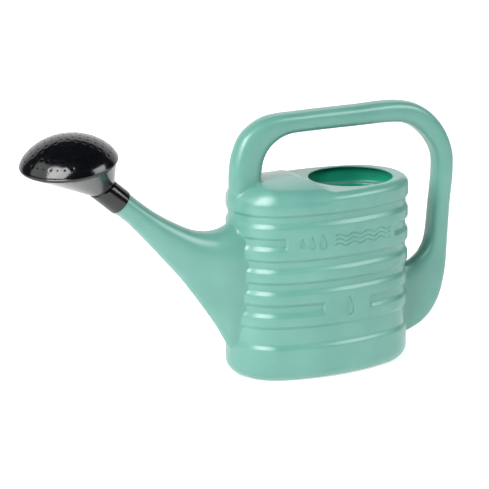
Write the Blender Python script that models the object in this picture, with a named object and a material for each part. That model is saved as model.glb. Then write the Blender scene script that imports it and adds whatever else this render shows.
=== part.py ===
"""Five-litre garden watering can with a push-on sprinkler rose.

The can is one hollow blow-moulding. It is modelled as three nodes (tank, handle and spout) that meet
along a fine gap. The rose is a socket with a liner, a funnel and a perforated face that snaps on.
Metres, +Z up, spout towards -X, handle towards +X. The origin is on the ground under the tank.
"""

import math

import bmesh
import bpy
from mathutils import Vector

MM = 0.001
GAP = 0.3 * MM              # clearance between neighbouring pieces
WALL = 1.6 * MM             # wall of the blow-moulded shell

# Tank: an oval plan with two end arcs and two gently bowed sides, ribbed all the way round
TANK_HALF_LENGTH = 112.2 * MM
TANK_HALF_WIDTH = 66.0 * MM
TANK_END_RADIUS = 57.0 * MM
TANK_HEIGHT = 224.0 * MM
TANK_LEAN = 2.4 * MM         # the foot sits this far forward of the top
BAND_PROUD = 2.8 * MM       # how far bands stand out from the recesses between them
BAND_PITCH = 26.8 * MM
BAND_COUNT = 5
BAND_HEIGHT = 12.7 * MM     # straight part of a band
CHAMFER_HEIGHT = 4.5 * MM   # sloping top edge of a band
SHOULDER_BOTTOM = 201.0 * MM
SHOULDER_RADIUS = 12.0 * MM
BASE_BAND_TOP = 40.5 * MM
BASE_RADIUS = 16.0 * MM
CROWN_RISE = 10.0 * MM      # the front of the top is a low crown, this much above the rear deck
CROWN_END = -30.5 * MM
CROWN_BOW = 2.2             # fall of the crown from its middle, per metre of width squared

# Filling hole in the rear deck
HOLE_X = 44.3 * MM
HOLE_RADIUS = 51.1 * MM

# Handle sections: inner X, Z, outer X, Z and depth, in millimetres, from the front foot to the rear fin
HANDLE_STATIONS = (
    (-77.5, 186.2, -116.5, 186.2, 27),
    (-77.5, 215.0, -115.8, 215.0, 28),
    (-77.3, 243.0, -115.0, 245.8, 28),
    (-72.8, 262.0, -110.7, 268.8, 28),
    (-61.0, 276.3, -98.2, 292.0, 28),
    (-41.5, 284.9, -68.0, 308.4, 28),
    (-12.0, 285.8, -20.0, 310.4, 28),
    (45.0, 285.2, 45.0, 310.2, 28),
    (100.0, 284.0, 106.0, 309.6, 28),
    (124.6, 277.0, 141.0, 298.8, 28),
    (145.2, 259.6, 167.0, 274.3, 28),
    (157.5, 238.7, 181.0, 243.5, 28),
    (159.3, 215.0, 182.4, 213.0, 28),
    (155.4, 177.0, 178.6, 175.0, 28),
    (150.8, 137.0, 175.9, 131.0, 28),
    (142.3, 120.0, 173.8, 94.0, 27),
    (130.5, 111.0, 165.4, 58.4, 26),
    (121.0, 107.5, 147.6, 34.0, 25),
    (108.0, 106.0, 123.0, 21.5, 24),
    (98.0, 106.0, 98.0, 17.0, 24),
)

# Spout sections: top X, Z, bottom X, Z, half width, height of the belt, power below it, in millimetres
SPOUT_STATIONS = (
    (-98.0, 189.0, -98.0, 24.0, 26.5, 0.64, 1.75),
    (-116.0, 185.2, -117.8, 34.3, 26.5, 0.62, 1.75),
    (-129.0, 181.0, -135.3, 63.0, 25.5, 0.60, 1.75),
    (-145.0, 180.6, -154.2, 91.3, 23.2, 0.58, 1.8),
    (-165.0, 185.0, -178.6, 125.2, 20.2, 0.56, 1.85),
    (-187.6, 196.2, -205.2, 156.8, 17.2, 0.54, 1.9),
    (-210.2, 210.2, -228.6, 183.6, 15.2, 0.52, 1.95),
    (-232.0, 227.2, -249.2, 205.6, 14.4, 0.51, 2.0),
    (-245.6, 239.4, -264.8, 218.2, 14.3, 0.50, 2.0),
)

# Rose, measured along the axis of the spout's end
SPOUT_TILT = math.radians(41.3)
SPOUT_END = Vector((-255.2, 0.0, 228.8)) * MM
SPIGOT_RADIUS = 12.0 * MM
SPIGOT_BORE = 10.0 * MM
SPIGOT_LENGTH = 24.0 * MM
LINER_WALL = 0.9 * MM
LINER_LENGTH = 21.0 * MM
SOCKET_RADIUS = 15.4 * MM
SOCKET_LENGTH = 29.0 * MM
MITRE_TILT = math.radians(62.0)
ROSE_TILT = math.radians(82.5)
ROSE_TURN = math.radians(-9.6)      # how far the rose is turned on the spout
ROSE_DISTANCE = 83.1 * MM           # from the spout's end to the centre of the face
FUNNEL_WALL = 1.6 * MM
FUNNEL_NECK = 14.5 * MM
FUNNEL_RIM = 54.0 * MM
FACE_RADIUS = 56.0 * MM
FACE_HEIGHT = 28.5 * MM
FACE_WALL = 1.6 * MM
FACE_LIP = 3.0 * MM
DOME_STEP = 0.7 * MM
RIM_HEIGHT = 2.5 * MM
HOLE_RINGS = 6
HOLE_RING_STEP = 8.2 * MM
HOLE_WIDTH = 2.0 * MM

MINT = (0.195, 0.468, 0.402)
BLACK = (0.006, 0.007, 0.008)


def clear_scene():
    for obj in list(bpy.data.objects):
        bpy.data.objects.remove(obj, do_unlink=True)


def material(name, colour, roughness):
    mat = bpy.data.materials.new(name)
    mat.use_nodes = True
    shader = mat.node_tree.nodes["Principled BSDF"]
    shader.inputs["Base Color"].default_value = (*colour, 1.0)
    shader.inputs["Roughness"].default_value = roughness
    shader.inputs["Metallic"].default_value = 0.0
    return mat


def loft(name, rings, mat=None, looped=False):
    """Skin a row of rings with triangles. Open lofts get an end face at both ends."""
    bm = bmesh.new()
    rows = [[bm.verts.new(point) for point in ring] for ring in rings]
    pairs = list(zip(rows, rows[1:]))
    if looped:
        pairs.append((rows[-1], rows[0]))
    for low, high in pairs:
        for i in range(len(low)):
            j = (i + 1) % len(low)
            bm.faces.new((low[i], low[j], high[j]))
            bm.faces.new((low[i], high[j], high[i]))
    if not looped:
        bm.faces.new(rows[0])
        bm.faces.new(rows[-1])
    bmesh.ops.recalc_face_normals(bm, faces=bm.faces)
    mesh = bpy.data.meshes.new(name)
    bm.to_mesh(mesh)
    bm.free()
    mesh.shade_smooth()
    mesh.set_sharp_from_angle(angle=math.radians(35.0))
    obj = bpy.data.objects.new(name, mesh)
    bpy.context.collection.objects.link(obj)
    if mat:
        mesh.materials.append(mat)
    return obj


def cutter(name, rings):
    obj = loft(name, rings)
    obj.hide_render = True
    obj.display_type = "WIRE"
    return obj


def cut(obj, tool):
    mod = obj.modifiers.new(tool.name, "BOOLEAN")
    mod.operation = "DIFFERENCE"
    mod.object = tool
    mod.solver = "EXACT"


# ---------------------------------------------------------------- tank

def oval(offset, end_steps=7, side_steps=5):
    """Plan outline of the tank, moved outwards by offset, as a list of (x, y)."""
    a, b, r = TANK_HALF_LENGTH, TANK_HALF_WIDTH, TANK_END_RADIUS
    run, drop = a - r, b - r
    centre = (run * run - drop * drop) / (2.0 * drop)
    side_radius = centre + b
    join = math.atan2(centre, run)
    quarter = []
    for i in range(end_steps):
        angle = join * i / end_steps
        quarter.append((run + (r + offset) * math.cos(angle), (r + offset) * math.sin(angle)))
    for i in range(side_steps + 1):
        angle = join + (math.pi / 2.0 - join) * i / side_steps
        reach = side_radius + offset
        quarter.append((reach * math.cos(angle), reach * math.sin(angle) - centre))
    left = [(-x, y) for x, y in reversed(quarter[:-1])]
    upper = quarter + left
    lower = [(x, -y) for x, y in reversed(upper[1:-1])]
    return upper + lower


def flat_ring(offset, z):
    lean = TANK_LEAN * (1.0 - z / TANK_HEIGHT)
    return [Vector((x - lean, y, z)) for x, y in oval(offset)]


def arc_rings(offset, z, radius, start, end, steps):
    """Rings round an edge: the offset grows with the cosine and the height with the sine."""
    rings = []
    for i in range(steps + 1):
        angle = start + (end - start) * i / steps
        rings.append(flat_ring(offset + radius * math.cos(angle), z + radius * math.sin(angle)))
    return rings


def top_height(x, y):
    """Height of the top above the rear deck: a bowed crown in front that ends short of the hole."""
    crown = max(0.0, CROWN_RISE - CROWN_BOW * y * y)
    ramp = min(1.0, max(0.0, (HOLE_X - HOLE_RADIUS - x) / (HOLE_X - HOLE_RADIUS - CROWN_END)))
    front = min(1.0, (x + TANK_HALF_LENGTH) / (2.0 * SHOULDER_RADIUS))
    return crown * ramp * max(0.0, front)


def top_rings(outline, z, radius, steps):
    """Rings that run from an outline in over the top to a circle round the filling hole."""
    rings = []
    for i in range(1, steps + 1):
        t = i / steps
        ring = []
        for x, y in outline:
            reach = Vector((x - HOLE_X, y)).normalized() * radius
            px = x + (HOLE_X + reach.x - x) * t
            py = y + (reach.y - y) * t
            ring.append(Vector((px, py, z + top_height(px, py))))
        rings.append(ring)
    return rings


def outer_wall(grow):
    """Rings of the ribbed outer wall from the foot to the shoulder, grown by a clearance."""
    edge = BAND_PROUD - BASE_RADIUS + grow
    rings = arc_rings(edge, BASE_RADIUS, BASE_RADIUS, -math.pi / 2.0, 0.0, 4)
    rings.append(flat_ring(BAND_PROUD + grow, BASE_BAND_TOP))
    rings.append(flat_ring(grow, BASE_BAND_TOP + CHAMFER_HEIGHT))
    step = BAND_PROUD / 4.0
    for k in range(BAND_COUNT, 0, -1):
        bottom = SHOULDER_BOTTOM - BAND_PITCH * k
        rings.append(flat_ring(grow, bottom - step))
        rings.append(flat_ring(BAND_PROUD + grow, bottom + step))
        rings.append(flat_ring(BAND_PROUD + grow, bottom + BAND_HEIGHT))
        rings.append(flat_ring(grow, bottom + BAND_HEIGHT + CHAMFER_HEIGHT))
    rings.append(flat_ring(grow, SHOULDER_BOTTOM - step))
    rings.append(flat_ring(BAND_PROUD + grow, SHOULDER_BOTTOM + step))
    edge = BAND_PROUD - SHOULDER_RADIUS + grow
    rings += arc_rings(edge, TANK_HEIGHT - SHOULDER_RADIUS + grow, SHOULDER_RADIUS, 0.0, math.pi / 2.0, 3)
    return rings


def tank_rings():
    rings = outer_wall(0.0)
    edge = BAND_PROUD - SHOULDER_RADIUS
    rings += top_rings(oval(edge), TANK_HEIGHT, HOLE_RADIUS, 4)
    under = top_rings(oval(edge), TANK_HEIGHT - WALL, HOLE_RADIUS, 4)
    rings += reversed(under)
    inner_radius = SHOULDER_RADIUS - WALL
    roof = arc_rings(edge, TANK_HEIGHT - SHOULDER_RADIUS, inner_radius, math.pi / 2.0, 0.0, 3)
    rings += roof
    rings.append(flat_ring(-WALL, SHOULDER_BOTTOM - WALL))
    floor_edge = BAND_PROUD - BASE_RADIUS
    rings.append(flat_ring(-WALL, BASE_BAND_TOP + CHAMFER_HEIGHT))
    rings += arc_rings(floor_edge, BASE_RADIUS, BASE_RADIUS - WALL, 0.0, -math.pi / 2.0, 3)
    return rings


def envelope_rings():
    """A closed block just larger than the tank, which trims the handle and the spout."""
    edge = BAND_PROUD - SHOULDER_RADIUS
    rings = outer_wall(GAP)
    rings.append(flat_ring(edge, TANK_HEIGHT + GAP))
    rings += top_rings(oval(edge), TANK_HEIGHT + GAP, HOLE_RADIUS, 4)
    return rings


# ---------------------------------------------------------------- handle and spout

def spline(rows, t):
    """Point t, from 0 to len(rows) - 1, on a Catmull-Rom curve through the rows."""
    last = len(rows) - 1
    k = min(int(t), last - 1)
    u = t - k
    before, start, end, after = (rows[min(max(k + i, 0), last)] for i in (-1, 0, 1, 2))
    point = []
    for a, b, c, d in zip(before, start, end, after):
        slope_in, slope_out = (c - a) / 2.0, (d - b) / 2.0
        rise = c - b
        value = b + slope_in * u + (3.0 * rise - 2.0 * slope_in - slope_out) * u * u
        point.append(value + (slope_in + slope_out - 2.0 * rise) * u ** 3)
    return point


def section(near, far, half_width, points, power, low_power, belt):
    """Section between two points of the symmetry plane: two half ovals that meet at the belt."""
    ring = []
    for i in range(points):
        angle = 2.0 * math.pi * i / points
        c, s = math.cos(angle), math.sin(angle)
        bend = power if c > 0.0 else low_power
        up = math.copysign(abs(c) ** (2.0 / bend), c)
        across = math.copysign(abs(s) ** (2.0 / bend), s)
        reach = 1.0 - belt if c > 0.0 else belt
        ring.append(far.lerp(near, belt + up * reach) + Vector((0.0, half_width * across, 0.0)))
    return ring


def handle_rings(inset, first):
    rings = []
    steps = 3
    for i in range(first * steps, (len(HANDLE_STATIONS) - 1) * steps + 1):
        ix, iz, ox, oz, depth = spline(HANDLE_STATIONS, i / steps)
        inner, outer = Vector((ix, 0.0, iz)) * MM, Vector((ox, 0.0, oz)) * MM
        pull = (outer - inner).normalized() * inset
        half = depth * MM / 2.0 - inset
        rings.append(section(inner + pull, outer - pull, half, 14, 3.0, 3.0, 0.5))
    return rings


def along(distance):
    """Point on the axis of the spout's end, a distance out from where the socket starts."""
    return SPOUT_END + Vector((-math.cos(SPOUT_TILT), 0.0, math.sin(SPOUT_TILT))) * distance


def disc(centre, normal, radius, points, twist=None):
    """Circle round a centre, starting at the highest point of its plane."""
    side = Vector((0.0, 1.0, 0.0)) if twist is None else twist
    up = side.cross(normal).normalized()
    side = normal.cross(up).normalized()
    ring = []
    for i in range(points):
        angle = 2.0 * math.pi * i / points
        ring.append(centre + up * radius * math.cos(angle) + side * radius * math.sin(angle))
    return ring


def spout_rings(inset, end_radius, reach):
    rings = []
    steps = 2
    for i in range((len(SPOUT_STATIONS) - 1) * steps + 1):
        tx, tz, bx, bz, wide, belt, low_power = spline(SPOUT_STATIONS, i / steps)
        top, bottom = Vector((tx, 0.0, tz)) * MM, Vector((bx, 0.0, bz)) * MM
        pull = (top - bottom).normalized() * inset
        power = 3.0 - i / (steps * (len(SPOUT_STATIONS) - 1))
        half = wide * MM - inset
        rings.append(section(top - pull, bottom + pull, half, 22, power, low_power, belt))
    axis = (along(1.0) - along(0.0)).normalized()
    rings.append(disc(along(0.0), axis, end_radius, 22))
    rings.append(disc(along(reach), axis, end_radius, 22))
    return rings


# ---------------------------------------------------------------- rose

def tilted(angle):
    return Vector((-math.cos(angle), 0.0, math.sin(angle)))


def tube_rings(start, end, bore, radius, axis, points):
    return [
        disc(start, axis, bore, points),
        disc(start, axis, radius, points),
        disc(end, axis, radius, points),
        disc(end, axis, bore, points),
    ]


def mitre_ring(radius, shift, points):
    """The cut through a tube on the spout's axis by the tilted plane where the funnel starts."""
    axis, normal = tilted(SPOUT_TILT), tilted(MITRE_TILT)
    centre = along(SOCKET_LENGTH + shift)
    ring = []
    for point in disc(along(0.0), axis, radius, points):
        ring.append(point + axis * ((centre - point).dot(normal) / axis.dot(normal)))
    return ring


def blend(low, high, t):
    return [a.lerp(b, t) for a, b in zip(low, high)]


def rose_body_rings(points):
    """Socket and funnel as one wall: up the outside from the socket, over the rim, down the inside."""
    axis, normal = tilted(SPOUT_TILT), tilted(ROSE_TILT)
    centre = along(ROSE_DISTANCE)
    bore = SPIGOT_RADIUS + 2.0 * GAP + LINER_WALL
    rim_bore, neck_bore = FUNNEL_RIM - FUNNEL_WALL, FUNNEL_NECK - FUNNEL_WALL
    neck = mitre_ring(FUNNEL_NECK, 0.4 * MM, points)
    throat = mitre_ring(neck_bore, 0.4 * MM, points)
    low = centre - normal * RIM_HEIGHT
    rim_out, rim_in = disc(low, normal, FUNNEL_RIM, points), disc(low, normal, rim_bore, points)
    rings = [
        disc(along(GAP), axis, bore, points),
        disc(along(GAP), axis, SOCKET_RADIUS, points),
        mitre_ring(SOCKET_RADIUS, 0.0, points),
        neck,
    ]
    rings += [blend(neck, rim_out, t) for t in (0.33, 0.66, 1.0)]
    rings += [disc(centre, normal, FUNNEL_RIM, points), disc(centre, normal, rim_bore, points)]
    rings += [blend(rim_in, throat, t) for t in (0.0, 0.34, 0.67, 1.0)]
    rings += [
        disc(along(SPIGOT_LENGTH + 2.0 * GAP), axis, neck_bore, points),
        disc(along(SPIGOT_LENGTH + GAP), axis, bore, points),
    ]
    return rings


def dome_rings(base, radius, height, points):
    """Half an ellipsoid from its foot up to the small hole at the crown."""
    normal = tilted(ROSE_TILT)
    rings = []
    for angle in (math.radians(a) for a in (6, 20, 34, 48, 62, 76)):
        rings.append(disc(base + normal * height * math.sin(angle), normal, radius * math.cos(angle), points))
    rings.append(disc(base + normal * height, normal, HOLE_WIDTH / 2.0, points))
    return rings


def face_rings(points):
    """Domed face whose skirt fits over the funnel's rim."""
    normal = tilted(ROSE_TILT)
    centre = along(ROSE_DISTANCE)
    skirt, seat = centre - normal * FACE_LIP / 2.0, centre + normal * GAP
    foot = centre + normal * FACE_LIP / 2.0
    dome_radius = FACE_RADIUS - DOME_STEP
    inner = dome_rings(foot, dome_radius - FACE_WALL, FACE_HEIGHT - FACE_WALL, points)
    rings = [
        disc(seat, normal, FUNNEL_RIM + GAP, points),
        disc(skirt, normal, FUNNEL_RIM + GAP, points),
        disc(skirt, normal, FACE_RADIUS, points),
        disc(foot, normal, FACE_RADIUS, points),
    ]
    rings += dome_rings(foot, dome_radius, FACE_HEIGHT, points)
    rings += reversed(inner)
    rings.append(disc(seat, normal, dome_radius - FACE_WALL - GAP, points))
    return rings


def face_holes(points):
    """One short peg for each hole, square to the dome."""
    normal = tilted(ROSE_TILT)
    dome = along(ROSE_DISTANCE) + normal * FACE_LIP / 2.0
    side = Vector((0.0, 1.0, 0.0))
    across = side.cross(normal).normalized()
    radius, height = FACE_RADIUS - DOME_STEP, FACE_HEIGHT
    pegs = []
    for ring in range(1, HOLE_RINGS + 1):
        count = 6 * ring
        for i in range(count):
            turn = 2.0 * math.pi * (i + 0.5) / count
            out = across * math.cos(turn) + side * math.sin(turn)
            reach = ring * HOLE_RING_STEP
            rise = height * math.sqrt(1.0 - (reach / radius) ** 2)
            slope = (out * reach / radius ** 2 + normal * rise / height ** 2).normalized()
            spot = dome + out * reach + normal * rise
            ends = [disc(spot + slope * d * MM, slope, HOLE_WIDTH / 2.0, points) for d in (-3.5, 2.0)]
            pegs.append(ends)
    return pegs


def peg_cutter(name, pegs):
    bm = bmesh.new()
    for ends in pegs:
        low, high = ([bm.verts.new(point) for point in ring] for ring in ends)
        for i in range(len(low)):
            j = (i + 1) % len(low)
            bm.faces.new((low[i], low[j], high[j], high[i]))
        bm.faces.new(low)
        bm.faces.new(high)
    bmesh.ops.recalc_face_normals(bm, faces=bm.faces)
    mesh = bpy.data.meshes.new(name)
    bm.to_mesh(mesh)
    bm.free()
    obj = bpy.data.objects.new(name, mesh)
    bpy.context.collection.objects.link(obj)
    obj.hide_render = True
    obj.display_type = "WIRE"
    return obj


def pose_rose(pieces):
    """Hang the rose on an empty on the spout's axis and turn it to its place."""
    pivot = bpy.data.objects.new("rose_pivot", None)
    bpy.context.collection.objects.link(pivot)
    pivot.location = SPOUT_END
    pivot.rotation_mode = "AXIS_ANGLE"
    pivot.rotation_axis_angle = (ROSE_TURN, *tilted(SPOUT_TILT))
    for piece in pieces:
        piece.parent = pivot
        piece.location = -SPOUT_END


def build():
    clear_scene()
    mint = material("mint_polyethylene", MINT, 0.35)
    black = material("black_polyethylene", BLACK, 0.15)

    tank = loft("tank", tank_rings(), mint)
    handle = loft("handle", handle_rings(0.0, 0), mint)
    spout = loft("spout", spout_rings(0.0, SPIGOT_RADIUS, SPIGOT_LENGTH), mint)
    envelope = cutter("tank_envelope", envelope_rings())
    handle_bore = cutter("handle_bore", handle_rings(WALL, 1))
    spout_bore = cutter("spout_bore", spout_rings(WALL, SPIGOT_BORE, SPIGOT_LENGTH + WALL))
    for piece, bore in ((handle, handle_bore), (spout, spout_bore)):
        cut(piece, envelope)
        cut(piece, bore)
        cut(tank, bore)

    liner_start, liner_end = along(GAP), along(LINER_LENGTH)
    liner_bore = SPIGOT_RADIUS + GAP
    liner = loft("socket_liner", tube_rings(liner_start, liner_end, liner_bore, liner_bore + LINER_WALL,
                                            tilted(SPOUT_TILT), 32), black, looped=True)
    body = loft("rose_body", rose_body_rings(32), black, looped=True)
    face = loft("rose_face", face_rings(36), black, looped=True)
    holes = peg_cutter("face_holes", face_holes(6))
    cut(face, holes)
    pose_rose((liner, body, face, holes))


build()
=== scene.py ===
"""Looks of a five-litre watering can: one blow-moulded mint shell and a glossy black sprinkler rose.

The shell is made as a ribbed tank, a hoop handle and a horn-shaped spout that are joined into one
skin, with soft fillets where they meet, as they come out of the mould. Metres, +Z up.
"""

import math

import bmesh
import bpy
import numpy as np
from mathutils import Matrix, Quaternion, Vector
from mathutils.bvhtree import BVHTree


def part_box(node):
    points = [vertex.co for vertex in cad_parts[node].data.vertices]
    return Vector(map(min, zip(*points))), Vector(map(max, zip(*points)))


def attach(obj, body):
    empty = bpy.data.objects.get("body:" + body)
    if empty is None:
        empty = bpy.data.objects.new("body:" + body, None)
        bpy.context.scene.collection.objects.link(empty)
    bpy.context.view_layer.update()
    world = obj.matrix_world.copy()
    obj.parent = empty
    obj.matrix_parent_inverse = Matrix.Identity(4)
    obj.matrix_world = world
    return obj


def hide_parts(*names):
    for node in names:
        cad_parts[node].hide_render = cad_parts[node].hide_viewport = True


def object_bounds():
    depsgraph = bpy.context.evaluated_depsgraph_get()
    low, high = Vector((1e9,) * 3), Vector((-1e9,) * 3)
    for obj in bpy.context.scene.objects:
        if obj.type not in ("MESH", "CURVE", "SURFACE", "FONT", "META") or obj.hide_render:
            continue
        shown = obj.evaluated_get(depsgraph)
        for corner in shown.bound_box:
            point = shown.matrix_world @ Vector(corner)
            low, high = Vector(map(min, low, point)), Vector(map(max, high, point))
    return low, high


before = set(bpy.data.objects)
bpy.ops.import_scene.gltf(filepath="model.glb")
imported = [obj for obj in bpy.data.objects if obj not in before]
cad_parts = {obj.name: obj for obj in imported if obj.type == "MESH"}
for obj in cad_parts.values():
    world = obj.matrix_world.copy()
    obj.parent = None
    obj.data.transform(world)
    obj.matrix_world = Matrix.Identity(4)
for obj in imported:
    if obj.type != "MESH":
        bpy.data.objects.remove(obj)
cad_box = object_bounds()

MM = 0.001
TANK_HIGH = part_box("tank")[1]
CAN_LOW = [min(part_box(name)[0][i] for name in ("tank", "handle", "spout")) for i in range(3)]
CAN_HIGH = [max(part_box(name)[1][i] for name in ("tank", "handle", "spout")) for i in range(3)]

# Tank: the plan is an oval of two end arcs and two gently bowed sides
BAND_PROUD = 2.8 * MM                   # bands stand out this far from the recesses
PLAN_LENGTH = 112.2 * MM                # half length and half width in the recesses
PLAN_WIDTH = TANK_HIGH[1] - BAND_PROUD
PLAN_END = 57.0 * MM
LEAN = 2.4 * MM                         # the foot sits this far forward of the top
SHELL = 1.6 * MM                        # wall of the moulding
DECK = 224.0 * MM                       # flat rear part of the top
SHOULDER_EDGE = 201.0 * MM
SHOULDER_FRONT = 13.0 * MM              # rounding of the top edge in front and at the back
SHOULDER_BACK = 9.5 * MM
BAND_PITCH = 26.8 * MM
BAND_COUNT = 5
BAND_TOP = 12.7 * MM                    # from a band's lower edge to where its chamfer starts
CHAMFER = 4.5 * MM
UNDERCUT = 1.1 * MM                     # half the height of the step under a band
BASE_TOP = 40.5 * MM
BASE_ROUND = 16.0 * MM
EDGE_SOFT = 1.5 * MM                    # rounding of the ribs' edges
PARTING = 0.22 * MM                     # height of the mould's parting line

# Top: a low crown in front that folds down to the rear deck, and the filling hole
CROWN_RISE = 10.0 * MM
CROWN_BOW = 2.2                         # fall of the crown, times the square of the distance in metres
FOLD_X = -30.5 * MM
FOLD_SWEEP = 0.2
HOLE_X = 44.3 * MM
HOLE_RADIUS = 51.1 * MM

# Ribs stop short of two flat fields on each side: a long one above and a small one below
LONG_FIELD = (-70.0 * MM, 72.0 * MM)
SMALL_FIELD = (-25.5 * MM, 35.5 * MM)
FIELD_MIDDLE = 8.0 * MM                 # height of a field's middle above the chamfer below it
RECESS_DEPTH = 1.0 * MM                 # of the drops in the fields
SMALL_DROPS = ((-54.0 * MM, 13.0 * MM), (-42.5 * MM, 16.0 * MM), (-29.0 * MM, 19.0 * MM))
LARGE_DROP = (5.0 * MM, 24.0 * MM)      # X and height of a drop
WAVE_SPAN = (-14.0 * MM, 64.0 * MM)
WAVE_PITCH = 5.5 * MM
WAVE_SWING = 2.0 * MM
WAVE_COUNT = 4.0
WAVE_GROOVE = 0.85 * MM

# Handle sections in the plane of symmetry: inner X, Z, outer X, Z and depth, in millimetres
HANDLE = (
    (-77.5, 183.0, -116.5, 183.0, 27),
    (-77.5, 215.0, -115.8, 215.0, 28),
    (-77.3, 243.0, -115.0, 245.8, 28),
    (-72.8, 262.0, -110.7, 268.8, 28),
    (-61.0, 276.3, -98.2, 292.0, 28),
    (-41.5, 284.9, -68.0, 308.4, 28),
    (-12.0, 285.8, -20.0, 310.4, 28),
    (45.0, 285.2, 45.0, 310.2, 28),
    (100.0, 284.0, 106.0, 309.6, 28),
    (124.6, 277.0, 141.0, 298.8, 28),
    (145.2, 259.6, 167.0, 274.3, 28),
    (157.5, 238.7, 181.0, 243.5, 28),
    (159.3, 215.0, 182.4, 213.0, 28),
    (155.4, 177.0, 178.6, 175.0, 28),
    (150.8, 137.0, 175.9, 131.0, 28),
    (142.3, 120.0, 173.8, 94.0, 27),
    (130.5, 111.0, 165.4, 58.4, 26),
    (121.0, 107.5, 147.6, 34.0, 25),
    (108.0, 106.0, 123.0, 21.5, 24),
    (98.0, 106.0, 98.0, 17.0, 24),
)

# Spout sections, in millimetres: top X, Z, bottom X, Z, half width, where the widest level lies from
# the keel up (0 to 1), and the power of the curve below it
SPOUT = (
    (-98.0, 189.0, -98.0, 24.0, 26.5, 0.64, 1.75),
    (-116.0, 185.2, -117.8, 34.3, 26.5, 0.62, 1.75),
    (-129.0, 181.0, -135.3, 63.0, 25.5, 0.60, 1.75),
    (-145.0, 180.6, -154.2, 91.3, 23.2, 0.58, 1.8),
    (-165.0, 185.0, -178.6, 125.2, 20.2, 0.56, 1.85),
    (-187.6, 196.2, -205.2, 156.8, 17.2, 0.54, 1.9),
    (-210.2, 210.2, -228.6, 183.6, 15.2, 0.52, 1.95),
    (-232.0, 227.2, -249.2, 205.6, 14.4, 0.51, 2.0),
    (-245.6, 239.4, -264.8, 218.2, 14.3, 0.50, 2.0),
)

# Rose, measured along the axis of the spout's end
SPOUT_TILT = math.radians(41.3)
SPOUT_END = Vector((-255.2, 0.0, 228.8)) * MM
SPIGOT = 12.0 * MM
SPIGOT_BORE = 10.2 * MM
SPIGOT_LENGTH = 24.0 * MM
LINER_OUT = 13.5 * MM
SOCKET = 15.4 * MM
SOCKET_LENGTH = 29.0 * MM
MITRE_TILT = math.radians(62.0)
ROSE_TILT = math.radians(82.5)
ROSE_TURN = math.radians(-9.6)
ROSE_DISTANCE = 83.1 * MM
NECK = 14.5 * MM
FUNNEL_WALL = 1.6 * MM
FUNNEL_RIM = 54.0 * MM
RIM_HEIGHT = 2.5 * MM
FACE = 55.9 * MM
FACE_LIP = 3.0 * MM
DOME = 55.3 * MM
DOME_HEIGHT = 28.5 * MM
DOME_POWER = 0.72                       # lower is fuller at the rim, 1 is a parabola
FIT = 0.3 * MM
HOLE_RINGS = 6
HOLE_STEP = 8.2 * MM
HOLE_WIDTH = 2.0 * MM
DIMPLE = 0.3 * MM                       # depth of the sunk ring round each hole
DIMPLE_REACH = 2.4 * MM
LINER_LENGTH = 21.0 * MM
LINER_RIBS = 4

# Rings along each stretch between two sections, and points round a section
HANDLE_DETAIL = (11, 40)
HANDLE_BORE_DETAIL = (4, 20)
SPOUT_DETAIL = (11, 48)
SPOUT_BORE_DETAIL = (5, 28)
FILLET = 5.5 * MM                       # radius where tank, handle and spout meet


# ---------------------------------------------------------------- materials

def srgb(text):
    """Linear colour of an sRGB hex value."""
    parts = [int(text[i:i + 2], 16) / 255.0 for i in (1, 3, 5)]
    linear = [c / 12.92 if c <= 0.04045 else ((c + 0.055) / 1.055) ** 2.4 for c in parts]
    return (*linear, 1.0)


def node(tree, kind, links=None, **settings):
    """Add a node, set its inputs and properties by name, and link its inputs to other sockets."""
    made = tree.nodes.new(kind)
    for key, value in settings.items():
        if key in made.inputs:
            made.inputs[key].default_value = value
        else:
            setattr(made, key, value)
    for key, socket in (links or {}).items():
        tree.links.new(socket, made.inputs[key])
    return made


def ramp(tree, factor, stops):
    """A colour ramp through (place, sRGB hex) stops."""
    made = node(tree, "ShaderNodeValToRGB", {"Fac": factor})
    elements = made.color_ramp.elements
    while len(elements) < len(stops):
        elements.new(0.5)
    for element, (place, colour) in zip(elements, stops):
        element.position = place
        element.color = srgb(colour)
    return made


def blank_material(name):
    made = bpy.data.materials.new(name)
    made.use_nodes = True
    tree = made.node_tree
    shader = tree.nodes["Principled BSDF"]
    place = node(tree, "ShaderNodeTexCoord")
    return made, tree, shader, place.outputs["Object"]


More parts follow.
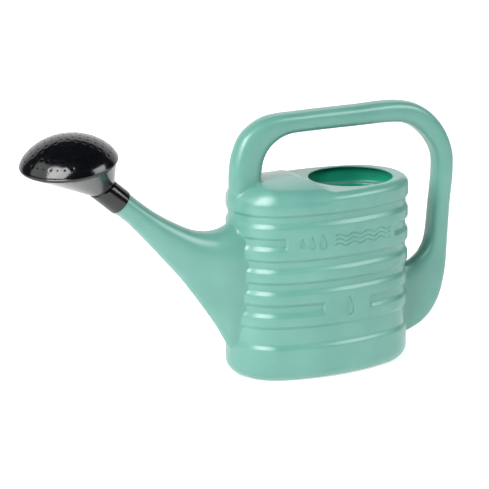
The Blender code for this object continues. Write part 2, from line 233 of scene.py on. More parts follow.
def blow_moulded_polyethylene():
    """Mint HDPE, blow-moulded against a fine-blasted steel mould.

    It gives a waxy half gloss: broad soft highlights, a hint of depth, faint cloudy swirls of pigment,
    upright draw lines left by the parison and the fine grain of the blasted mould. The inner face is
    painted a deeper green, painted light in place of light passing through the wall.
    """
    made, tree, shader, place = blank_material("blow_moulded_hdpe_mint")
    cloud = node(tree, "ShaderNodeTexNoise", {"Vector": place}, Scale=14.0, Detail=3.0, Roughness=0.55)
    tint = ramp(tree, cloud.outputs["Fac"], ((0.3, "#558A7F"), (0.5, "#5A8F84"), (0.7, "#609489")))
    # Painted light: the inner face of the wall is painted a deeper green in place of light passing through
    # it
    inner_glow_paint = node(tree, "ShaderNodeAttribute")
    inner_glow_paint.attribute_name = "inner_glow_paint"
    painted_glow_mix = node(tree, "ShaderNodeMix", {"Factor": inner_glow_paint.outputs["Fac"]})
    painted_glow_mix.data_type = "RGBA"
    tree.links.new(tint.outputs["Color"], painted_glow_mix.inputs["A"])
    # the painted glow colour of the inner face
    painted_glow_mix.inputs["B"].default_value = srgb("#1FA384")
    tree.links.new(painted_glow_mix.outputs["Result"], shader.inputs["Base Color"])

    stretch = node(tree, "ShaderNodeMapping", {"Vector": place}, Scale=(260.0, 260.0, 9.0))
    draw = node(tree, "ShaderNodeTexNoise", {"Vector": stretch.outputs["Vector"]}, Scale=1.0, Detail=2.0)
    gloss = node(tree, "ShaderNodeMapRange", {"Value": draw.outputs["Fac"]})
    gloss.inputs["To Min"].default_value = 0.27
    gloss.inputs["To Max"].default_value = 0.31
    tree.links.new(gloss.outputs["Result"], shader.inputs["Roughness"])

    grain = node(tree, "ShaderNodeTexNoise", {"Vector": place}, Scale=1900.0, Detail=2.0)
    wave = node(tree, "ShaderNodeTexNoise", {"Vector": place}, Scale=38.0, Detail=1.0)
    fine = node(tree, "ShaderNodeBump", {"Height": grain.outputs["Fac"]}, Strength=0.05, Distance=0.0002)
    soft = node(tree, "ShaderNodeBump", {"Height": wave.outputs["Fac"], "Normal": fine.outputs["Normal"]},
                Strength=0.10, Distance=0.002)
    tree.links.new(soft.outputs["Normal"], shader.inputs["Normal"])
    shader.inputs["IOR"].default_value = 1.54
    shader.inputs["Subsurface Weight"].default_value = 0.3
    shader.inputs["Subsurface Radius"].default_value = (0.5, 1.0, 0.85)
    shader.inputs["Subsurface Scale"].default_value = 0.002
    return made


def gloss_moulded_polyethylene():
    """Black PE, injection-moulded in a polished tool.

    It gives a near mirror gloss on deep black, broken by a fine orange peel and the odd scuff.
    """
    made, tree, shader, place = blank_material("injection_moulded_pe_black")
    speck = node(tree, "ShaderNodeTexNoise", {"Vector": place}, Scale=90.0, Detail=3.0)
    tint = ramp(tree, speck.outputs["Fac"], ((0.35, "#020305"), (0.65, "#05060A")))
    tree.links.new(tint.outputs["Color"], shader.inputs["Base Color"])
    gloss = node(tree, "ShaderNodeMapRange", {"Value": speck.outputs["Fac"]})
    gloss.inputs["To Min"].default_value = 0.10
    gloss.inputs["To Max"].default_value = 0.20
    tree.links.new(gloss.outputs["Result"], shader.inputs["Roughness"])
    peel = node(tree, "ShaderNodeTexNoise", {"Vector": place}, Scale=620.0, Detail=2.0)
    bump = node(tree, "ShaderNodeBump", {"Height": peel.outputs["Fac"]}, Strength=0.16, Distance=0.0003)
    tree.links.new(bump.outputs["Normal"], shader.inputs["Normal"])
    shader.inputs["IOR"].default_value = 1.52
    return made


# ---------------------------------------------------------------- mesh helpers

def new_object(name, mesh, material=None):
    obj = bpy.data.objects.new(name, mesh)
    bpy.context.collection.objects.link(obj)
    if material:
        mesh.materials.append(material)
    return obj


def skin(name, rings, material=None, looped=False):
    """Join equal rings of points with quads. Open skins get an end face at both ends."""
    rings = [np.asarray(ring, dtype=float) for ring in rings]
    count, size = len(rings), len(rings[0])
    points = np.concatenate(rings)
    faces = []
    spans = count if looped else count - 1
    column = np.arange(size)
    after = (column + 1) % size
    for k in range(spans):
        low, high = k * size, ((k + 1) % count) * size
        quads = np.stack([low + column, low + after, high + after, high + column], axis=1)
        faces.extend(quads.tolist())
    if not looped:
        faces.append(list(range(size))[::-1])
        faces.append([(count - 1) * size + i for i in range(size)])
    mesh = bpy.data.meshes.new(name)
    mesh.from_pydata(points.tolist(), [], faces)
    face_outwards(mesh)
    mesh.shade_smooth()
    return new_object(name, mesh, material)


def face_outwards(mesh):
    bm = bmesh.new()
    bm.from_mesh(mesh)
    bmesh.ops.recalc_face_normals(bm, faces=bm.faces)
    bm.to_mesh(mesh)
    bm.free()


def combine(obj, tool, operation, keep_tool=False):
    """Apply a Boolean with the tool and drop the tool."""
    mod = obj.modifiers.new("combine", "BOOLEAN")
    mod.operation = operation
    mod.object = tool
    mod.solver = "EXACT"
    apply_modifiers(obj)
    if not keep_tool:
        bpy.data.objects.remove(tool, do_unlink=True)


def apply_modifiers(obj):
    graph = bpy.context.evaluated_depsgraph_get()
    mesh = bpy.data.meshes.new_from_object(obj.evaluated_get(graph))
    obj.modifiers.clear()
    obj.data = mesh


def tree_of(obj):
    graph = bpy.context.evaluated_depsgraph_get()
    return BVHTree.FromObject(obj, graph)


def smooth_step(value, start, end):
    t = np.clip((value - start) / (end - start), 0.0, 1.0)
    return t * t * (3.0 - 2.0 * t)


def finish_shading(obj, angle=38.0):
    """Smooth shading that keeps hard edges, weighted so that large faces stay flat."""
    obj.data.shade_smooth()
    obj.data.set_sharp_from_angle(angle=math.radians(angle))
    mod = obj.modifiers.new("weighted", "WEIGHTED_NORMAL")
    mod.keep_sharp = True


# ---------------------------------------------------------------- tank

def plan_oval(end_steps, side_steps):
    """Points and outward directions of the oval plan, as arrays of equal length."""
    run, drop = PLAN_LENGTH - PLAN_END, PLAN_WIDTH - PLAN_END
    centre = (run * run - drop * drop) / (2.0 * drop)
    side = centre + PLAN_WIDTH
    join = math.atan2(centre, run)
    end = np.linspace(0.0, join, end_steps, endpoint=False)
    flank = np.linspace(join, math.pi / 2.0, side_steps + 1)
    angle = np.concatenate([end, flank])
    x = np.where(angle < join, run + PLAN_END * np.cos(angle), side * np.cos(angle))
    y = np.where(angle < join, PLAN_END * np.sin(angle), side * np.sin(angle) - centre)
    quarter = np.stack([x, y, np.cos(angle), np.sin(angle)], axis=1)
    left = quarter[:-1][::-1] * (-1, 1, -1, 1)
    upper = np.concatenate([quarter, left])
    lower = upper[1:-1][::-1] * (1, -1, 1, -1)
    table = np.concatenate([upper, lower])
    return table[:, :2], table[:, 2:]


OUTLINE, OUTWARD = plan_oval(34, 36)
COLUMN_X = OUTLINE[:, 0]


def ring_at(offset, z):
    flat = OUTLINE + OUTWARD * np.reshape(offset, (-1, 1))
    height = np.broadcast_to(z, (len(flat),))
    lean = LEAN * np.clip(1.0 - height / DECK, 0.0, 1.0)
    return np.column_stack([flat[:, 0] - lean, flat[:, 1], height])


def seam_ridge():
    """The mould's parting line: the two columns at the ends of the tank stand out a little."""
    ridge = np.zeros(len(OUTLINE))
    ridge[np.abs(OUTLINE[:, 1]) < 0.1 * MM] = PARTING
    return ridge


def recess_depth(z):
    """How deep the wall lies at a height, from 0 on a band to 1 in a recess, with sharp corners."""
    knots = [(0.0, 0.0), (BASE_TOP, 0.0), (BASE_TOP + CHAMFER, 1.0)]
    for k in range(BAND_COUNT, 0, -1):
        low = SHOULDER_EDGE - BAND_PITCH * k
        knots += [(low - UNDERCUT, 1.0), (low + UNDERCUT, 0.0)]
        knots += [(low + BAND_TOP, 0.0), (low + BAND_TOP + CHAMFER, 1.0)]
    knots += [(SHOULDER_EDGE - UNDERCUT, 1.0), (SHOULDER_EDGE + UNDERCUT, 0.0), (DECK, 0.0)]
    places, depths = zip(*knots)
    return np.interp(z, places, depths), places


def soft_depth(z):
    """The same with its corners rounded."""
    reach = np.linspace(-EDGE_SOFT, EDGE_SOFT, 9)
    return float(np.mean([recess_depth(z + shift)[0] for shift in reach]))


def field_mask(field):
    """0 on the columns of a flat field, 1 elsewhere, with a short step at both ends."""
    step = 1.6 * MM
    left = 1.0 - smooth_step(COLUMN_X, field[0] - step, field[0])
    right = smooth_step(COLUMN_X, field[1], field[1] + step)
    return np.maximum(left, right)


def wall_offset(z):
    """Offset of the ribbed wall from the plan at a height, for every column."""
    mask = np.ones(len(OUTLINE))
    for band, field in ((2, LONG_FIELD), (5, SMALL_FIELD)):
        low = SHOULDER_EDGE - BAND_PITCH * band + BAND_TOP - EDGE_SOFT
        if low < z < low + BAND_PITCH:
            mask = field_mask(field)
    return BAND_PROUD * (1.0 - soft_depth(z) * mask)


def wall_levels():
    """Heights at which the wall gets a ring: close together round each corner of its profile."""
    places = recess_depth(0.0)[1]
    levels = []
    for place in places[1:-1]:
        levels += [place + shift * EDGE_SOFT for shift in (-1.0, -0.5, 0.0, 0.5, 1.0)]
    levels += list(np.arange(BASE_ROUND + 3.0 * MM, BASE_TOP, 6.0 * MM))
    levels += [SHOULDER_EDGE + 5.0 * MM, SHOULDER_EDGE + 9.0 * MM]
    for k in range(1, BAND_COUNT + 1):
        levels.append(SHOULDER_EDGE - BAND_PITCH * k + BAND_TOP / 2.0)
        levels.append(SHOULDER_EDGE - BAND_PITCH * k + BAND_TOP + CHAMFER + 4.0 * MM)
    levels = sorted(levels)
    spaced = [levels[0]]
    for level in levels[1:]:
        if level - spaced[-1] > 0.12 * MM:
            spaced.append(level)
    return spaced


def top_height(x, y):
    """Height of the top above the deck."""
    x, y = np.asarray(x), np.abs(np.asarray(y))
    crown = CROWN_RISE - CROWN_BOW * y * y
    fold = FOLD_X + FOLD_SWEEP * y
    edge = HOLE_X - HOLE_RADIUS - 1.0 * MM
    ramp_down = np.clip((edge - x) / (edge - fold), 0.0, 1.0)
    turn = smooth_step(x, fold - 1.2 * MM, fold + 1.2 * MM)
    front = smooth_step(x, -PLAN_LENGTH, -PLAN_LENGTH + 2.5 * SHOULDER_FRONT)
    seam = -PARTING * (1.0 - smooth_step(y, 0.3 * MM, 1.3 * MM)) * (x < fold)
    return crown * (1.0 - turn + ramp_down * turn) * front + seam


SHOULDER = SHOULDER_FRONT + (SHOULDER_BACK - SHOULDER_FRONT) * smooth_step(COLUMN_X, -24.0 * MM, -14.0 * MM)


def outer_wall(shift):
    """Rings from the foot to the edge of the top, all moved outwards by a shift."""
    ridge = seam_ridge()
    foot = BAND_PROUD - BASE_ROUND
    rings = []
    for angle in np.radians(np.linspace(-90.0, 0.0, 10)):
        reach = BASE_ROUND + shift
        rings.append(ring_at(foot + reach * math.cos(angle), BASE_ROUND + reach * math.sin(angle)))
    for z in wall_levels():
        rings.append(ring_at(wall_offset(z) + shift + ridge, z))
    crown = BAND_PROUD - SHOULDER
    for angle in np.radians(np.linspace(0.0, 90.0, 13)):
        reach = SHOULDER + shift
        ring = ring_at(crown + reach * math.cos(angle) + ridge, DECK - SHOULDER + reach * math.sin(angle))
        ring[:, 2] += top_height(ring[:, 0], ring[:, 1]) * math.sin(angle) ** 2
        rings.append(ring)
    return rings


def top_sheet(z, steps, radius):
    """Rings from the shoulder in over the top to a circle round the hole."""
    start = ring_at(BAND_PROUD - SHOULDER, DECK)[:, :2]
    reach = start - (HOLE_X, 0.0)
    reach /= np.linalg.norm(reach, axis=1, keepdims=True)
    target = reach * radius + (HOLE_X, 0.0)
    rings = []
    for t in np.linspace(0.0, 1.0, steps + 1)[1:]:
        flat = start + (target - start) * t
        rings.append(np.column_stack([flat, z + top_height(flat[:, 0], flat[:, 1])]))
    return rings


def hole_lip(z_middle, radius, steps):
    """Rounded edge of the filling hole, from the top face round to the underside."""
    start = ring_at(BAND_PROUD - SHOULDER, DECK)[:, :2] - (HOLE_X, 0.0)
    start /= np.linalg.norm(start, axis=1, keepdims=True)
    rings = []
    for angle in np.radians(np.linspace(90.0, -90.0, steps + 2)[1:-1]):
        flat = start * (radius - SHELL / 2.0 * math.cos(angle)) + (HOLE_X, 0.0)
        height = np.full(len(flat), z_middle + SHELL / 2.0 * math.sin(angle))
        rings.append(np.column_stack([flat, height]))
    return rings


def tank_shell():
    outer = outer_wall(0.0)
    rings = outer + top_sheet(DECK, 34, HOLE_RADIUS)
    rings += hole_lip(DECK - SHELL / 2.0, HOLE_RADIUS, 5)
    under = top_sheet(DECK - SHELL, 12, HOLE_RADIUS)
    rings += under[::-1]
    rings += outer_wall(-SHELL)[::-1]
    return skin("can_shell", rings)


def tank_block(shift):
    """The tank as a solid block, which trims what reaches into it."""
    rings = outer_wall(shift) + top_sheet(DECK + shift, 16, HOLE_RADIUS)
    return skin("tank_block", rings)


# ---------------------------------------------------------------- handle and spout

def spline(rows, t):
    """Point t, from 0 to len(rows) - 1, on a Catmull-Rom curve through the rows."""
    rows = np.asarray(rows, dtype=float)
    last = len(rows) - 1
    k = min(int(t), last - 1)
    u = t - k
    a, b, c, d = (rows[min(max(k + i, 0), last)] for i in (-1, 0, 1, 2))
    enter, leave, rise = (c - a) / 2.0, (d - b) / 2.0, c - b
    return b + enter * u + (3.0 * rise - 2.0 * enter - leave) * u * u + (enter + leave - 2.0 * rise) * u ** 3


def section_angles(points):
    """Angles round a section, with a close trio on the parting line at both ends of its height."""
    even = np.linspace(0.0, math.pi, points // 2 + 1)[1:-1]
    close = np.radians((0.35, 1.4))
    half = np.concatenate([[0.0], close, even, math.pi - close[::-1]])
    return np.concatenate([half, [math.pi], 2.0 * math.pi - half[1:][::-1]])


def signed_power(value, power):
    return np.copysign(np.abs(value) ** power, value)


def section(near, far, half_width, angles, power, low_power, belt, ridge):
    """Closed section between two points of the symmetry plane.

    It is made of two half ovals that meet at the belt, its widest level, and carries the parting
    line at both ends of its height.
    """
    height = np.linalg.norm(near - far)
    c, s = np.cos(angles), np.sin(angles)
    bend = np.where(c > 0.0, power, low_power)
    up = signed_power(c, 2.0 / bend)
    across = signed_power(s, 2.0 / bend)
    reach = np.where(c > 0.0, 1.0 - belt, belt) * height
    lift = np.where(np.abs(s) < 1e-6, np.copysign(ridge, c), 0.0)
    ring = far + (near - far) * ((belt * height + up * reach + lift) / height)[:, None]
    ring[:, 1] += half_width * across
    return ring


def handle_skin(name, inset, steps, points, first=0):
    angles = section_angles(points)
    rings = []
    for i in range(first * steps, (len(HANDLE) - 1) * steps + 1):
        ix, iz, ox, oz, depth = spline(HANDLE, i / steps)
        inner, outer = np.array((ix, 0.0, iz)) * MM, np.array((ox, 0.0, oz)) * MM
        ridge = PARTING if inset == 0.0 else 0.0
        pull = (outer - inner) / np.linalg.norm(outer - inner) * (inset + ridge)
        half_width = depth * MM / 2.0 - inset
        rings.append(section(inner + pull, outer - pull, half_width, angles, 3.0, 3.0, 0.5, ridge))
    return skin(name, rings)


def tilted(angle):
    return Vector((-math.cos(angle), 0.0, math.sin(angle)))


def along(distance):
    return SPOUT_END + tilted(SPOUT_TILT) * distance


def disc(centre, normal, radius, angles):
    """Circle round a centre, starting at the highest point of its plane."""
    up = Vector((0.0, 1.0, 0.0)).cross(normal).normalized()
    side = normal.cross(up).normalized()
    c, s = np.cos(angles)[:, None], np.sin(angles)[:, None]
    return np.array(centre) + radius * (c * np.array(up) + s * np.array(side))


def spout_skin(name, inset, end_radius, reach, steps, points):
    angles = section_angles(points)
    rings = []
    last = (len(SPOUT) - 1) * steps
    for i in range(last + 1):
        tx, tz, bx, bz, wide, belt, low_power = spline(SPOUT, i / steps)
        top, bottom = np.array((tx, 0.0, tz)) * MM, np.array((bx, 0.0, bz)) * MM
        ridge = PARTING if inset == 0.0 else 0.0
        pull = (top - bottom) / np.linalg.norm(top - bottom) * (inset + ridge)
        power = 2.0 + 1.0 * (1.0 - i / last)
        rings.append(section(top - pull, bottom + pull, wide * MM - inset, angles, power, low_power,
                             belt, ridge))
    axis = tilted(SPOUT_TILT)
    end_soft = 0.6 * MM
    rings.append(disc(along(0.0), axis, end_radius, angles))
    rings.append(disc(along(reach - end_soft), axis, end_radius, angles))
    rings.append(disc(along(reach), axis, end_radius - end_soft * (inset == 0.0), angles))
    return skin(name, rings)


# ---------------------------------------------------------------- one skin

def groove(points, radius):
    """A round bar along a line of points, which cuts a moulded groove."""
    curve = bpy.data.curves.new("groove", "CURVE")
    curve.dimensions = "3D"
    curve.bevel_depth = radius
    curve.bevel_resolution = 3
    curve.use_fill_caps = True
    line = curve.splines.new("POLY")
    line.points.add(len(points) - 1)
    for point, place in zip(line.points, points):
        point.co = (*place, 1.0)
    bar = bpy.data.objects.new("groove", curve)
    bpy.context.collection.objects.link(bar)
    graph = bpy.context.evaluated_depsgraph_get()
    mesh = bpy.data.meshes.new_from_object(bar.evaluated_get(graph))
    bpy.data.objects.remove(bar, do_unlink=True)
    return mesh


def side_y(x, offset):
    """Distance from the middle plane to the side of the tank at a given X."""
    half = OUTLINE[:, 1] > 0.0
    flat = OUTLINE[half] + OUTWARD[half] * offset
    order = np.argsort(flat[:, 0])
    return np.interp(x, flat[order, 0], flat[order, 1])


def drop_outline(x, z, height, side):
    """Outline of a water drop on the side of the tank, point upwards."""
    points = []
    for turn in np.linspace(0.0, 2.0 * math.pi, 33)[:-1]:
        across = 0.36 * height * math.sin(turn) * math.sin(turn / 2.0) ** 1.5
        up = height / 2.0 * math.cos(turn)
        px = x + across
        points.append(Vector((px, side * side_y(px, BAND_PROUD), z + up)))
    return points


def wave_line(x_start, x_end, z, swing, waves, side):
    points = []
    for t in np.linspace(0.0, 1.0, 25):
        x = x_start + (x_end - x_start) * t
        height = z + swing * math.sin(2.0 * math.pi * waves * t)
        points.append((x, side * side_y(x, BAND_PROUD), height))
    return points


def recess(outline, side):
    """A block under an outline on the tank's side, which cuts a shallow flat recess."""
    rows = [[point + Vector((0.0, side * shift, 0.0)) for point in outline]
            for shift in (-RECESS_DEPTH, 2.0 * MM)]
    size = len(outline)
    faces = [tuple(range(size)), tuple(range(size, 2 * size))]
    faces += [(i, (i + 1) % size, size + (i + 1) % size, size + i) for i in range(size)]
    mesh = bpy.data.meshes.new("recess")
    mesh.from_pydata(rows[0] + rows[1], [], faces)
    return mesh


def moulded_marks():
    """Plain motifs cut into the two flat fields of each side: drops and waves."""
    bars = []
    long_z = SHOULDER_EDGE - BAND_PITCH * 2.0 + BAND_TOP + FIELD_MIDDLE
    small_z = SHOULDER_EDGE - BAND_PITCH * 5.0 + BAND_TOP + FIELD_MIDDLE
    for side in (-1.0, 1.0):
        for x, height in SMALL_DROPS:
            bars.append(recess(drop_outline(x, long_z, height, side), side))
        for i in (-1.0, 0.0, 1.0):
            line = wave_line(*WAVE_SPAN, long_z - WAVE_PITCH * i, WAVE_SWING, WAVE_COUNT, side)
            bars.append(groove(line, WAVE_GROOVE))
        x, height = LARGE_DROP
        bars.append(recess(drop_outline(x, small_z, height, side), side))
    bm = bmesh.new()
    for mesh in bars:
        bm.from_mesh(mesh)
        bpy.data.meshes.remove(mesh)
    bmesh.ops.remove_doubles(bm, verts=bm.verts, dist=0.001 * MM)
    joined = bpy.data.meshes.new("moulded_marks")
    bm.to_mesh(joined)
    bm.free()
    face_outwards(joined)
    return new_object("moulded_marks", joined)


def keep_inside(obj):
    """Clamp the can to the box of its three nodes, which rounded curves overshoot slightly."""
    for vertex in obj.data.vertices:
        for i in range(3):
            vertex.co[i] = min(max(vertex.co[i], CAN_LOW[i]), CAN_HIGH[i])


def fillet_joints(obj, parts):
    """Raise the skin where two parts meet, as the mould's radius does.

    Close to a joint a point lies on one part and within reach of another. It moves out by the height
    of a round blend between them, which is largest on the joint itself.
    """
    trees = [tree_of(part) for part in parts]
    contact = 0.06 * MM
    mesh = obj.data
    for vertex in mesh.vertices:
        found = [tree.find_nearest(vertex.co, FILLET) for tree in trees]
        hits = sorted((hit[3], k, hit[1]) for k, hit in enumerate(found) if hit[0] is not None)
        if len(hits) < 2 or hits[0][0] > contact:
            continue
        gap = hits[1][0]
        height = (FILLET - gap) ** 2 / (4.0 * FILLET)
        lean = 0.5 * (1.0 - gap / FILLET)
        direction = (hits[0][2] * (1.0 - lean) + hits[1][2] * lean).normalized()
        vertex.co += direction * height
    mesh.update()


def paint_inner_glow(obj, block):
    """Mark the inner face of the tank for a deeper green, painted light that stands in for light passing
    through the wall.
    """
    tree = tree_of(block)
    values = []
    for vertex in obj.data.vertices:
        spot, normal = tree.find_nearest(vertex.co)[:2]
        values.append(1.0 if (spot - vertex.co).dot(normal) > SHELL * 0.8 else 0.0)
    obj.data.attributes.new("inner_glow_paint", "FLOAT", "POINT").data.foreach_set("value", values)


def can_skin(material):
    """Tank, handle and spout joined into one hollow moulding."""
    tank = tank_shell()
    handle = handle_skin("handle_skin", 0.0, *HANDLE_DETAIL)
    spout = spout_skin("spout_skin", 0.0, SPIGOT, SPIGOT_LENGTH, *SPOUT_DETAIL)
    block = tank_block(-SHELL / 2.0)
    guides = [tank_block(0.0), handle_skin("handle_guide", 0.0, *HANDLE_DETAIL),
              spout_skin("spout_guide", 0.0, SPIGOT, SPIGOT_LENGTH, *SPOUT_DETAIL)]
    combine(handle, block, "DIFFERENCE", keep_tool=True)
    combine(spout, block, "DIFFERENCE")
    combine(tank, spout, "UNION")
    combine(tank, handle, "UNION")
    combine(tank, handle_skin("handle_bore", SHELL, *HANDLE_BORE_DETAIL, first=1), "DIFFERENCE")
    bore = spout_skin("spout_bore", SHELL, SPIGOT_BORE, SPIGOT_LENGTH + SHELL, *SPOUT_BORE_DETAIL)
    combine(tank, bore, "DIFFERENCE")
    fillet_joints(tank, guides)
    combine(tank, moulded_marks(), "DIFFERENCE")
    paint_inner_glow(tank, guides[0])
    keep_inside(tank)
    for guide in guides:
        bpy.data.objects.remove(guide, do_unlink=True)
    tank.data.materials.clear()
    tank.data.materials.append(material)
    finish_shading(tank)
    return tank


# ---------------------------------------------------------------- rose

def turned(ring):
    """Turn points about the axis of the spout's end, as the rose sits."""
    axis = np.array(tilted(SPOUT_TILT))
    rel = np.asarray(ring) - np.array(SPOUT_END)
    c, s = math.cos(ROSE_TURN), math.sin(ROSE_TURN)
    spun = rel * c + np.cross(axis, rel) * s + np.outer(rel @ axis, axis) * (1.0 - c)
    return spun + np.array(SPOUT_END)


def mitre_ring(radius, shift, angles):
    axis, normal = np.array(tilted(SPOUT_TILT)), np.array(tilted(MITRE_TILT))
    centre = np.array(along(SOCKET_LENGTH + shift))
    ring = disc(along(0.0), tilted(SPOUT_TILT), radius, angles)
    reach = ((centre - ring) @ normal) / (axis @ normal)
    return ring + reach[:, None] * axis


def funnel_rings(neck, rim, steps):
    """Straight flaring wall from the neck to the rim."""
    return [neck + (rim - neck) * t for t in np.linspace(0.0, 1.0, steps + 1)]


def rose_body_skin(material):
    angles = np.linspace(0.0, 2.0 * math.pi, 96, endpoint=False)
    axis, normal = tilted(SPOUT_TILT), tilted(ROSE_TILT)
    centre = along(ROSE_DISTANCE)
    soft = 0.5 * MM
    bore = LINER_OUT
    neck, throat = mitre_ring(NECK, 0.5 * MM, angles), mitre_ring(NECK - FUNNEL_WALL, 0.5 * MM, angles)
    low = centre - normal * RIM_HEIGHT
    rim_bore = FUNNEL_RIM - FUNNEL_WALL
    rim_out, rim_in = disc(low, normal, FUNNEL_RIM, angles), disc(low, normal, rim_bore, angles)
    rings = [
        disc(along(FIT + soft), axis, bore, angles),
        disc(along(FIT), axis, bore + soft * 0.4, angles),
        disc(along(FIT), axis, SOCKET - soft, angles),
        disc(along(FIT + soft * 0.3), axis, SOCKET - soft * 0.3, angles),
        disc(along(FIT + soft), axis, SOCKET, angles),
        disc(along(SOCKET_LENGTH * 0.4), axis, SOCKET, angles),
        mitre_ring(SOCKET, -soft, angles),
        mitre_ring(SOCKET - soft * 0.3, -soft * 0.3, angles),
        mitre_ring(SOCKET - soft, 0.0, angles),
    ]
    rings += funnel_rings(neck, rim_out, 14)
    rings += [disc(centre - normal * soft, normal, FUNNEL_RIM, angles),
              disc(centre, normal, FUNNEL_RIM - soft, angles),
              disc(centre, normal, rim_bore, angles)]
    rings += funnel_rings(throat, rim_in, 8)[::-1]
    rings += [disc(along(SPIGOT_LENGTH + 2.0 * FIT), axis, NECK - FUNNEL_WALL, angles),
              disc(along(SPIGOT_LENGTH + FIT), axis, bore, angles)]
    body = skin("rose_body_skin", [turned(ring) for ring in rings], material, looped=True)
    finish_shading(body, 50.0)
    return body


def liner_skin(material):
    angles = np.linspace(0.0, 2.0 * math.pi, 64, endpoint=False)
    axis = tilted(SPOUT_TILT)
    thick = LINER_OUT - 2.0 * FIT - SPIGOT
    soft = thick * 0.3
    inner, outer = SPIGOT + FIT, SPIGOT + FIT + thick
    profile = [(FIT + soft, inner), (FIT, inner + soft), (FIT, outer - soft), (FIT + soft, outer)]
    for i in range(LINER_RIBS):
        start = LINER_LENGTH * (i + 0.6) / (LINER_RIBS + 0.4)
        profile += [(start - 1.0 * MM, outer), (start, outer - soft), (start + 1.0 * MM, outer)]
    profile += [(LINER_LENGTH - soft, outer), (LINER_LENGTH, outer - soft)]
    profile += [(LINER_LENGTH, inner + soft), (LINER_LENGTH - soft, inner)]
    rings = [turned(disc(along(place), axis, radius, angles)) for place, radius in profile]
    liner = skin("socket_liner_skin", rings, material, looped=True)
    finish_shading(liner, 50.0)
    return liner


def dome_rise(reach, radius, height):
    """Rise of the dome at a distance from its axis."""
    return height * max(0.0, 1.0 - (reach / radius) ** 2) ** DOME_POWER


def dome_rings(foot, radius, height, angles, steps):
    normal = tilted(ROSE_TILT)
    rings = []
    for part in 1.0 - np.linspace(0.06, 1.0, steps) ** 2:
        reach = radius * max(part, 0.015)
        rings.append(disc(foot + normal * dome_rise(reach, radius, height), normal, reach, angles))
    return rings


def hole_spots():
    """Centre and outward direction of every hole of the rose, on six rings."""
    normal = tilted(ROSE_TILT)
    foot = along(ROSE_DISTANCE) + normal * FACE_LIP / 2.0
    side = Vector((0.0, 1.0, 0.0))
    across = side.cross(normal).normalized()
    spots = []
    for ring in range(1, HOLE_RINGS + 1):
        for i in range(6 * ring):
            turn = 2.0 * math.pi * (i + 0.5 * (ring % 2)) / (6 * ring)
            out = across * math.cos(turn) + side * math.sin(turn)
            reach = ring * HOLE_STEP
            rise = dome_rise(reach, DOME, DOME_HEIGHT)
            fall = (dome_rise(reach - MM, DOME, DOME_HEIGHT) - rise) / MM
            spots.append((foot + out * reach + normal * rise, (out * fall + normal).normalized()))
    return spots


def hole_pegs():
    """Short round pegs square to the dome, one for each hole, in one mesh."""
    angles = np.linspace(0.0, 2.0 * math.pi, 12, endpoint=False)
    size = len(angles)
    points, faces = [], []
    for spot, slope in hole_spots():
        start = len(points)
        for depth in (-4.0 * MM, 2.0 * MM):
            points += turned(disc(spot + slope * depth, slope, HOLE_WIDTH / 2.0, angles)).tolist()
        for j in range(size):
            k = (j + 1) % size
            faces.append((start + j, start + k, start + size + k, start + size + j))
        faces.append(tuple(start + j for j in reversed(range(size))))
        faces.append(tuple(start + size + j for j in range(size)))
    mesh = bpy.data.meshes.new("hole_pegs")
    mesh.from_pydata(points, [], faces)
    face_outwards(mesh)
    return new_object("hole_pegs", mesh)


def dimple_holes(ring):
    """Sink the outside of the dome a little round each hole, as a pierced moulding does."""
    points = np.array(ring)
    for spot, slope in hole_spots():
        gap = np.linalg.norm(points - np.array(spot), axis=1)
        points -= np.outer(DIMPLE * np.exp(-(gap / DIMPLE_REACH) ** 2 * 2.0), np.array(slope))
    return points


def rose_face_skin(material):
    angles = np.linspace(0.0, 2.0 * math.pi, 288, endpoint=False)
    normal = tilted(ROSE_TILT)
    centre = along(ROSE_DISTANCE)
    wall = FUNNEL_WALL
    soft = 0.6 * MM
    skirt, seat = centre - normal * FACE_LIP / 2.0, centre + normal * FIT
    foot = centre + normal * FACE_LIP / 2.0
    inner = dome_rings(foot, DOME - wall, DOME_HEIGHT - wall, angles, 20)
    rings = [
        disc(seat, normal, FUNNEL_RIM + FIT, angles),
        disc(skirt + normal * soft * 0.5, normal, FUNNEL_RIM + FIT, angles),
        disc(skirt, normal, FUNNEL_RIM + FIT + soft * 0.5, angles),
        disc(skirt, normal, FACE - soft, angles),
        disc(skirt + normal * soft * 0.3, normal, FACE - soft * 0.3, angles),
        disc(skirt + normal * soft, normal, FACE, angles),
        disc(foot - normal * soft, normal, FACE, angles),
        disc(foot - normal * soft * 0.3, normal, FACE - soft * 0.3, angles),
        disc(foot, normal, FACE - soft * 0.9, angles),
    ]
    rings += [dimple_holes(ring) for ring in dome_rings(foot, DOME, DOME_HEIGHT, angles, 52)]
    rings += inner[::-1]
    rings.append(disc(seat, normal, DOME - wall - FIT, angles))
    face = skin("rose_face_skin", [turned(ring) for ring in rings], material, looped=True)
    combine(face, hole_pegs(), "DIFFERENCE")
    face.data.materials.clear()
    face.data.materials.append(material)
    finish_shading(face, 50.0)
    return face


# ---------------------------------------------------------------- studio

VIEW_AZIMUTH = math.radians(-27.0)
VIEW_ELEVATION = math.radians(15.3)


def in_view(right, away, up):
    """World position of a place given to the right of the can, away from the camera and up."""
    c, s = math.cos(VIEW_AZIMUTH), math.sin(VIEW_AZIMUTH)
    return Vector((right * c - away * s, right * s + away * c, up))


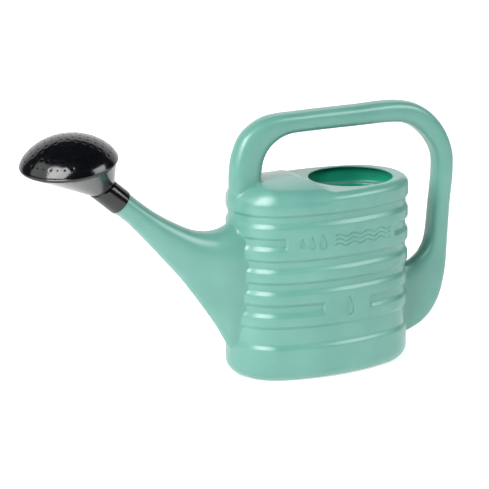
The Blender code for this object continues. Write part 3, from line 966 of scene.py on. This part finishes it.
def white_sweep():
    """White board that bends up behind the can, bright enough to burn out to white."""
    width, depth, rise, bend = 3.2, 2.3, 2.75, 0.7
    profile = [(-1.0, 0.0), (depth - bend, 0.0)]
    for angle in np.radians(np.linspace(-80.0, 0.0, 9)):
        profile.append((depth - bend + bend * math.cos(angle), bend + bend * math.sin(angle)))
    profile.append((depth, rise))
    points = [tuple(in_view(side, away, up)) for side in (-width, width) for away, up in profile]
    size = len(profile)
    faces = [(i, i + 1, size + i + 1, size + i) for i in range(size - 1)]
    mesh = bpy.data.meshes.new("white_sweep")
    mesh.from_pydata(points, [], faces)
    mesh.shade_smooth()
    made, tree, shader, place = blank_material("studio_white")
    shader.inputs["Base Color"].default_value = srgb("#F0F0F0")
    shader.inputs["Roughness"].default_value = 0.9
    shader.inputs["Emission Color"].default_value = (1.0, 1.0, 1.0, 1.0)
    shader.inputs["Emission Strength"].default_value = 0.5
    new_object("white_sweep", mesh, made)


def softbox(name, azimuth, elevation, distance, size, radiance):
    """Rectangular lamp aimed at the can. Azimuth runs from straight behind it, rightwards positive."""
    turn, lift = math.radians(azimuth), math.radians(elevation)
    flat = distance * math.cos(lift)
    place = in_view(flat * math.sin(turn), flat * math.cos(turn), 0.15 + distance * math.sin(lift))
    lamp = bpy.data.lights.new(name, "AREA")
    lamp.shape = "RECTANGLE"
    lamp.size, lamp.size_y = size
    lamp.energy = radiance * math.pi * size[0] * size[1]
    obj = bpy.data.objects.new(name, lamp)
    bpy.context.collection.objects.link(obj)
    obj.location = place
    obj.rotation_euler = (Vector((0.0, 0.0, 0.15)) - place).to_track_quat("-Z", "Y").to_euler()


def studio():
    """White sweep, a tall softbox to the left of the camera and a narrow one on the right."""
    scene = bpy.context.scene
    scene.view_settings.view_transform = "Standard"
    white_sweep()
    world = bpy.data.worlds.new("studio_air")
    scene.world = world
    world.use_nodes = True
    background = world.node_tree.nodes["Background"]
    background.inputs["Color"].default_value = (1.0, 1.0, 1.0, 1.0)
    background.inputs["Strength"].default_value = 0.05
    softbox("left_softbox", -146.0, 35.0, 2.0, (1.25, 1.4), 10.0)
    softbox("left_fill", -116.0, 30.0, 2.2, (2.2, 1.6), 1.7)
    softbox("right_softbox", 109.0, 30.0, 2.0, (1.15, 1.0), 6.5)


def camera():
    """Long lens from the spout's side, a little above the can."""
    roll, distance = math.radians(-0.58), 2.954
    middle = sum((Vector(corner) for corner in cad_box), Vector()) / 2.0
    aim = middle + Vector((-2.5, 0.0, 1.06)) * MM
    back = in_view(0.0, -math.cos(VIEW_ELEVATION), math.sin(VIEW_ELEVATION))
    data = bpy.data.cameras.new("camera")
    data.lens = 185.8
    data.sensor_width = 36.0
    obj = bpy.data.objects.new("camera", data)
    bpy.context.collection.objects.link(obj)
    obj.location = aim + back * distance
    obj.rotation_mode = "QUATERNION"
    obj.rotation_quaternion = Quaternion(back, roll) @ (-back).to_track_quat("-Z", "Y")
    bpy.context.scene.camera = obj


def build():
    mint = blow_moulded_polyethylene()
    black = gloss_moulded_polyethylene()

    can = can_skin(mint)
    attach(can, "can")
    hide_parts("tank", "handle", "spout")

    liner = liner_skin(black)
    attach(liner, "liner")
    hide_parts("socket_liner")

    body = rose_body_skin(black)
    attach(body, "rose")
    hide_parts("rose_body")

    face = rose_face_skin(black)
    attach(face, "face")
    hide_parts("rose_face")

    studio()
    camera()


build()
